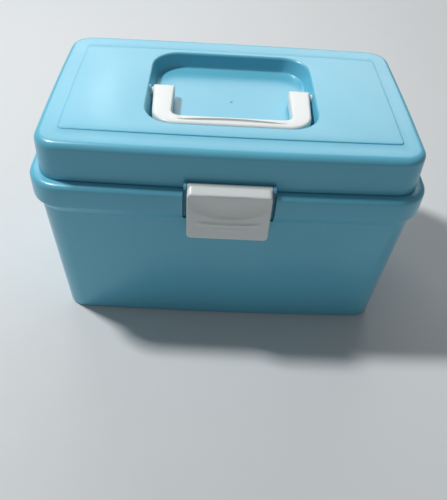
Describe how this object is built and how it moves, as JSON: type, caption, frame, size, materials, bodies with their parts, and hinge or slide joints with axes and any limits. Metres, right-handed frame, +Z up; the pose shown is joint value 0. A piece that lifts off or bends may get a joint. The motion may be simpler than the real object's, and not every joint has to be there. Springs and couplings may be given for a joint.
{
  "type": "sewing box",
  "caption": "Tapered plastic sewing box with a rolled collar, hinged lid, sunk folding handle, front latch and lift-out divided trays.",
  "frame": {"origin": "middle of the flat base, in the box's left-right middle plane", "axes": "+X to the box's right seen from the latch, +Y to the hinges, +Z up"},
  "size_m": [0.265, 0.1807, 0.1575],
  "materials": {
    "blue_plastic": "smooth moulded, glossy",
    "white_plastic": "smooth moulded, satin gloss",
    "tray_plastic": "smooth moulded, satin",
    "divider_plastic": "fine matte",
    "steel": "drawn wire"
  },
  "bodies": {
    "tub": {"body_shell": "blue_plastic", "hinge_pin_left": "steel", "hinge_pin_right": "steel"},
    "lid": {"lid_shell": "blue_plastic", "latch_pin": "steel"},
    "handle": {"carry_handle": "white_plastic"},
    "latch": {"latch_flap": "white_plastic"},
    "upper_tray_set": {"upper_tray": "tray_plastic", "upper_divider_1": "divider_plastic", "upper_divider_2": "divider_plastic", "upper_divider_3": "divider_plastic", "upper_divider_4": "divider_plastic", "upper_divider_5": "divider_plastic", "upper_divider_6": "divider_plastic"},
    "lower_tray_set": {"lower_tray": "tray_plastic", "lower_divider_1": "divider_plastic", "lower_divider_2": "divider_plastic", "lower_divider_3": "divider_plastic", "lower_divider_4": "divider_plastic"}
  },
  "joints": [
    {"name": "lid_hinge", "type": "hinge", "parent": "tub", "child": "lid", "pos_m": [0, 0.08845, 0.133], "axis": [-1, 0, 0], "range_deg": [0, 105]},
    {"name": "handle_swing", "type": "hinge", "parent": "lid", "child": "handle", "pos_m": [0, 0.0023, 0.152], "axis": [-1, 0, 0], "range_deg": [0, 180]},
    {"name": "latch_swing", "type": "hinge", "parent": "lid", "child": "latch", "pos_m": [0, -0.0805, 0.1333], "axis": [-1, 0, 0], "range_deg": [0, 95]},
    {"name": "upper_tray_lift", "type": "slide", "parent": "tub", "child": "upper_tray_set", "axis": [0, 0, 1], "range_m": [0, 0.0826]},
    {"name": "lower_tray_lift", "type": "slide", "parent": "tub", "child": "lower_tray_set", "axis": [0, 0, 1], "range_m": [0, 0.0552]}
  ],
  "couplings": [
    {"joint": "upper_tray_lift", "follows": "lid_hinge", "m_per_rad": 0.045},
    {"joint": "lower_tray_lift", "follows": "lid_hinge", "m_per_rad": 0.03}
  ]
}
